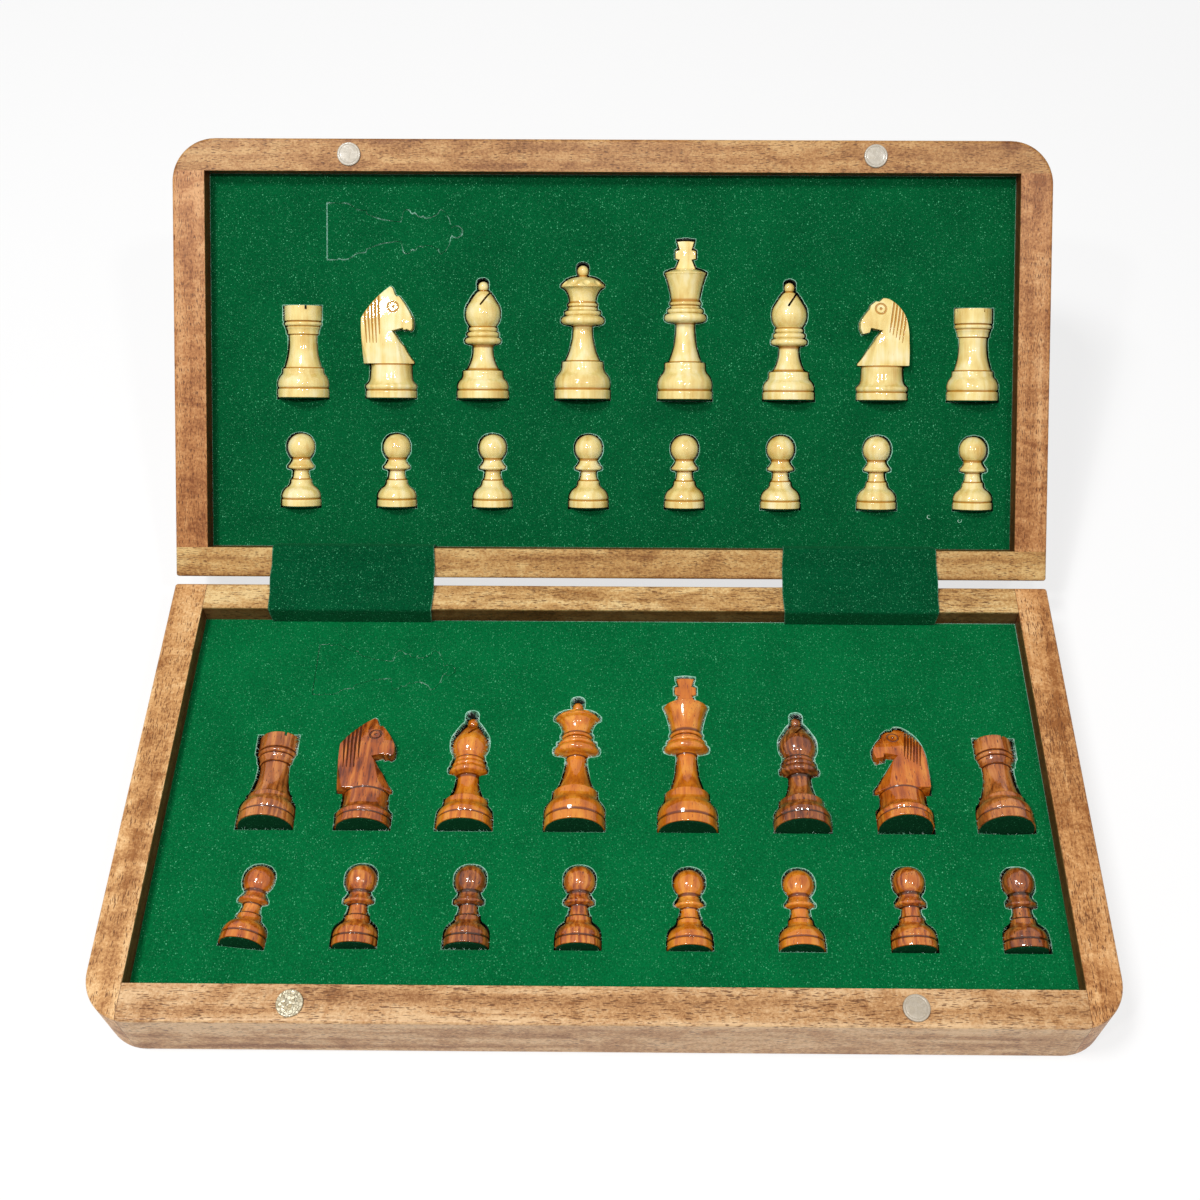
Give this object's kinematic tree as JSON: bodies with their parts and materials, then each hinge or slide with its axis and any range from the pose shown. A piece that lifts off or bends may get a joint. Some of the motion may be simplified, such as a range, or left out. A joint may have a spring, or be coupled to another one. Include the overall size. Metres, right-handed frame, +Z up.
{
  "type": "magnetic travel chess set",
  "caption": "Folding wooden chess case with felt-lined die-cut wells, a chequered playing field outside and a full set of magnetic chess pieces that lift out.",
  "frame": {"origin": "centre of the lower half's underside, which is half of the playing field", "axes": "+X to the right along the hinge, +Y away from the player to the hinge, +Z up"},
  "size_m": [0.305, 0.2861, 0.1259],
  "materials": {
    "case_wood": "satin lacquer, open grain",
    "steel": "plain sheet",
    "light_square": "satin lacquer",
    "dark_square": "satin lacquer",
    "foam": "closed-cell foam",
    "felt": "flocked",
    "magnet": "plated, under clear glue",
    "hinge_metal": "plated",
    "light_piece": "gloss lacquer",
    "dark_piece": "gloss lacquer"
  },
  "bodies": {
    "base": {"base_front_rail": "case_wood", "base_hinge_rail": "case_wood", "base_left_rail": "case_wood", "base_right_rail": "case_wood", "base_floor_panel": "case_wood", "base_steel_sheet": "steel", "base_light_squares": "light_square", "base_dark_squares": "dark_square", "base_foam_tray": "foam", "base_felt_liner": "felt", "base_closure_magnets": "magnet", "base_hinge_leaves": "hinge_metal", "base_hinge_screws": "hinge_metal", "hinge_pins": "hinge_metal", "hinge_felt_covers": "felt"},
    "lid": {"lid_front_rail": "case_wood", "lid_hinge_rail": "case_wood", "lid_left_rail": "case_wood", "lid_right_rail": "case_wood", "lid_floor_panel": "case_wood", "lid_steel_sheet": "steel", "lid_light_squares": "light_square", "lid_dark_squares": "dark_square", "lid_foam_tray": "foam", "lid_felt_liner": "felt", "lid_closure_magnets": "magnet", "lid_hinge_leaves": "hinge_metal", "lid_hinge_screws": "hinge_metal"},
    "dark_rook_left": {"dark_rook_left": "dark_piece"},
    "dark_knight_left": {"dark_knight_left": "dark_piece"},
    "dark_bishop_left": {"dark_bishop_left": "dark_piece"},
    "dark_queen": {"dark_queen": "dark_piece"},
    "dark_king": {"dark_king": "dark_piece"},
    "dark_bishop_right": {"dark_bishop_right": "dark_piece"},
    "dark_knight_right": {"dark_knight_right": "dark_piece"},
    "dark_rook_right": {"dark_rook_right": "dark_piece"},
    "dark_pawn_1": {"dark_pawn_1": "dark_piece"},
    "dark_pawn_2": {"dark_pawn_2": "dark_piece"},
    "dark_pawn_3": {"dark_pawn_3": "dark_piece"},
    "dark_pawn_4": {"dark_pawn_4": "dark_piece"},
    "dark_pawn_5": {"dark_pawn_5": "dark_piece"},
    "dark_pawn_6": {"dark_pawn_6": "dark_piece"},
    "dark_pawn_7": {"dark_pawn_7": "dark_piece"},
    "dark_pawn_8": {"dark_pawn_8": "dark_piece"},
    "light_rook_left": {"light_rook_left": "light_piece"},
    "light_knight_left": {"light_knight_left": "light_piece"},
    "light_bishop_left": {"light_bishop_left": "light_piece"},
    "light_queen": {"light_queen": "light_piece"},
    "light_king": {"light_king": "light_piece"},
    "light_bishop_right": {"light_bishop_right": "light_piece"},
    "light_knight_right": {"light_knight_right": "light_piece"},
    "light_rook_right": {"light_rook_right": "light_piece"},
    "light_pawn_1": {"light_pawn_1": "light_piece"},
    "light_pawn_2": {"light_pawn_2": "light_piece"},
    "light_pawn_3": {"light_pawn_3": "light_piece"},
    "light_pawn_4": {"light_pawn_4": "light_piece"},
    "light_pawn_5": {"light_pawn_5": "light_piece"},
    "light_pawn_6": {"light_pawn_6": "light_piece"},
    "light_pawn_7": {"light_pawn_7": "light_piece"},
    "light_pawn_8": {"light_pawn_8": "light_piece"}
  },
  "joints": [
    {"name": "lid_hinge", "type": "hinge", "parent": "base", "child": "lid", "pos_m": [0, 0.07717, 0.0263], "axis": [-1, 0, 0], "range_deg": [-139, 41], "deforming": ["hinge_felt_covers"]},
    {"name": "dark_rook_left_lift", "type": "slide", "parent": "base", "child": "dark_rook_left", "axis": [0, 0, 1], "range_m": [0, 0.03]},
    {"name": "dark_knight_left_lift", "type": "slide", "parent": "base", "child": "dark_knight_left", "axis": [0, 0, 1], "range_m": [0, 0.03]},
    {"name": "dark_bishop_left_lift", "type": "slide", "parent": "base", "child": "dark_bishop_left", "axis": [0, 0, 1], "range_m": [0, 0.03]},
    {"name": "dark_queen_lift", "type": "slide", "parent": "base", "child": "dark_queen", "axis": [0, 0, 1], "range_m": [0, 0.03]},
    {"name": "dark_king_lift", "type": "slide", "parent": "base", "child": "dark_king", "axis": [0, 0, 1], "range_m": [0, 0.03]},
    {"name": "dark_bishop_right_lift", "type": "slide", "parent": "base", "child": "dark_bishop_right", "axis": [0, 0, 1], "range_m": [0, 0.03]},
    {"name": "dark_knight_right_lift", "type": "slide", "parent": "base", "child": "dark_knight_right", "axis": [0, 0, 1], "range_m": [0, 0.03]},
    {"name": "dark_rook_right_lift", "type": "slide", "parent": "base", "child": "dark_rook_right", "axis": [0, 0, 1], "range_m": [0, 0.03]},
    {"name": "dark_pawn_1_lift", "type": "slide", "parent": "base", "child": "dark_pawn_1", "axis": [0, 0, 1], "range_m": [0, 0.03]},
    {"name": "dark_pawn_2_lift", "type": "slide", "parent": "base", "child": "dark_pawn_2", "axis": [0, 0, 1], "range_m": [0, 0.03]},
    {"name": "dark_pawn_3_lift", "type": "slide", "parent": "base", "child": "dark_pawn_3", "axis": [0, 0, 1], "range_m": [0, 0.03]},
    {"name": "dark_pawn_4_lift", "type": "slide", "parent": "base", "child": "dark_pawn_4", "axis": [0, 0, 1], "range_m": [0, 0.03]},
    {"name": "dark_pawn_5_lift", "type": "slide", "parent": "base", "child": "dark_pawn_5", "axis": [0, 0, 1], "range_m": [0, 0.03]},
    {"name": "dark_pawn_6_lift", "type": "slide", "parent": "base", "child": "dark_pawn_6", "axis": [0, 0, 1], "range_m": [0, 0.03]},
    {"name": "dark_pawn_7_lift", "type": "slide", "parent": "base", "child": "dark_pawn_7", "axis": [0, 0, 1], "range_m": [0, 0.03]},
    {"name": "dark_pawn_8_lift", "type": "slide", "parent": "base", "child": "dark_pawn_8", "axis": [0, 0, 1], "range_m": [0, 0.03]},
    {"name": "light_rook_left_lift", "type": "slide", "parent": "lid", "child": "light_rook_left", "axis": [0, -0.6561, 0.7547], "range_m": [0, 0.03]},
    {"name": "light_knight_left_lift", "type": "slide", "parent": "lid", "child": "light_knight_left", "axis": [0, -0.6561, 0.7547], "range_m": [0, 0.03]},
    {"name": "light_bishop_left_lift", "type": "slide", "parent": "lid", "child": "light_bishop_left", "axis": [0, -0.6561, 0.7547], "range_m": [0, 0.03]},
    {"name": "light_queen_lift", "type": "slide", "parent": "lid", "child": "light_queen", "axis": [0, -0.6561, 0.7547], "range_m": [0, 0.03]},
    {"name": "light_king_lift", "type": "slide", "parent": "lid", "child": "light_king", "axis": [0, -0.6561, 0.7547], "range_m": [0, 0.03]},
    {"name": "light_bishop_right_lift", "type": "slide", "parent": "lid", "child": "light_bishop_right", "axis": [0, -0.6561, 0.7547], "range_m": [0, 0.03]},
    {"name": "light_knight_right_lift", "type": "slide", "parent": "lid", "child": "light_knight_right", "axis": [0, -0.6561, 0.7547], "range_m": [0, 0.03]},
    {"name": "light_rook_right_lift", "type": "slide", "parent": "lid", "child": "light_rook_right", "axis": [0, -0.6561, 0.7547], "range_m": [0, 0.03]},
    {"name": "light_pawn_1_lift", "type": "slide", "parent": "lid", "child": "light_pawn_1", "axis": [0, -0.6561, 0.7547], "range_m": [0, 0.03]},
    {"name": "light_pawn_2_lift", "type": "slide", "parent": "lid", "child": "light_pawn_2", "axis": [0, -0.6561, 0.7547], "range_m": [0, 0.03]},
    {"name": "light_pawn_3_lift", "type": "slide", "parent": "lid", "child": "light_pawn_3", "axis": [0, -0.6561, 0.7547], "range_m": [0, 0.03]},
    {"name": "light_pawn_4_lift", "type": "slide", "parent": "lid", "child": "light_pawn_4", "axis": [0, -0.6561, 0.7547], "range_m": [0, 0.03]},
    {"name": "light_pawn_5_lift", "type": "slide", "parent": "lid", "child": "light_pawn_5", "axis": [0, -0.6561, 0.7547], "range_m": [0, 0.03]},
    {"name": "light_pawn_6_lift", "type": "slide", "parent": "lid", "child": "light_pawn_6", "axis": [0, -0.6561, 0.7547], "range_m": [0, 0.03]},
    {"name": "light_pawn_7_lift", "type": "slide", "parent": "lid", "child": "light_pawn_7", "axis": [0, -0.6561, 0.7547], "range_m": [0, 0.03]},
    {"name": "light_pawn_8_lift", "type": "slide", "parent": "lid", "child": "light_pawn_8", "axis": [0, -0.6561, 0.7547], "range_m": [0, 0.03]}
  ]
}
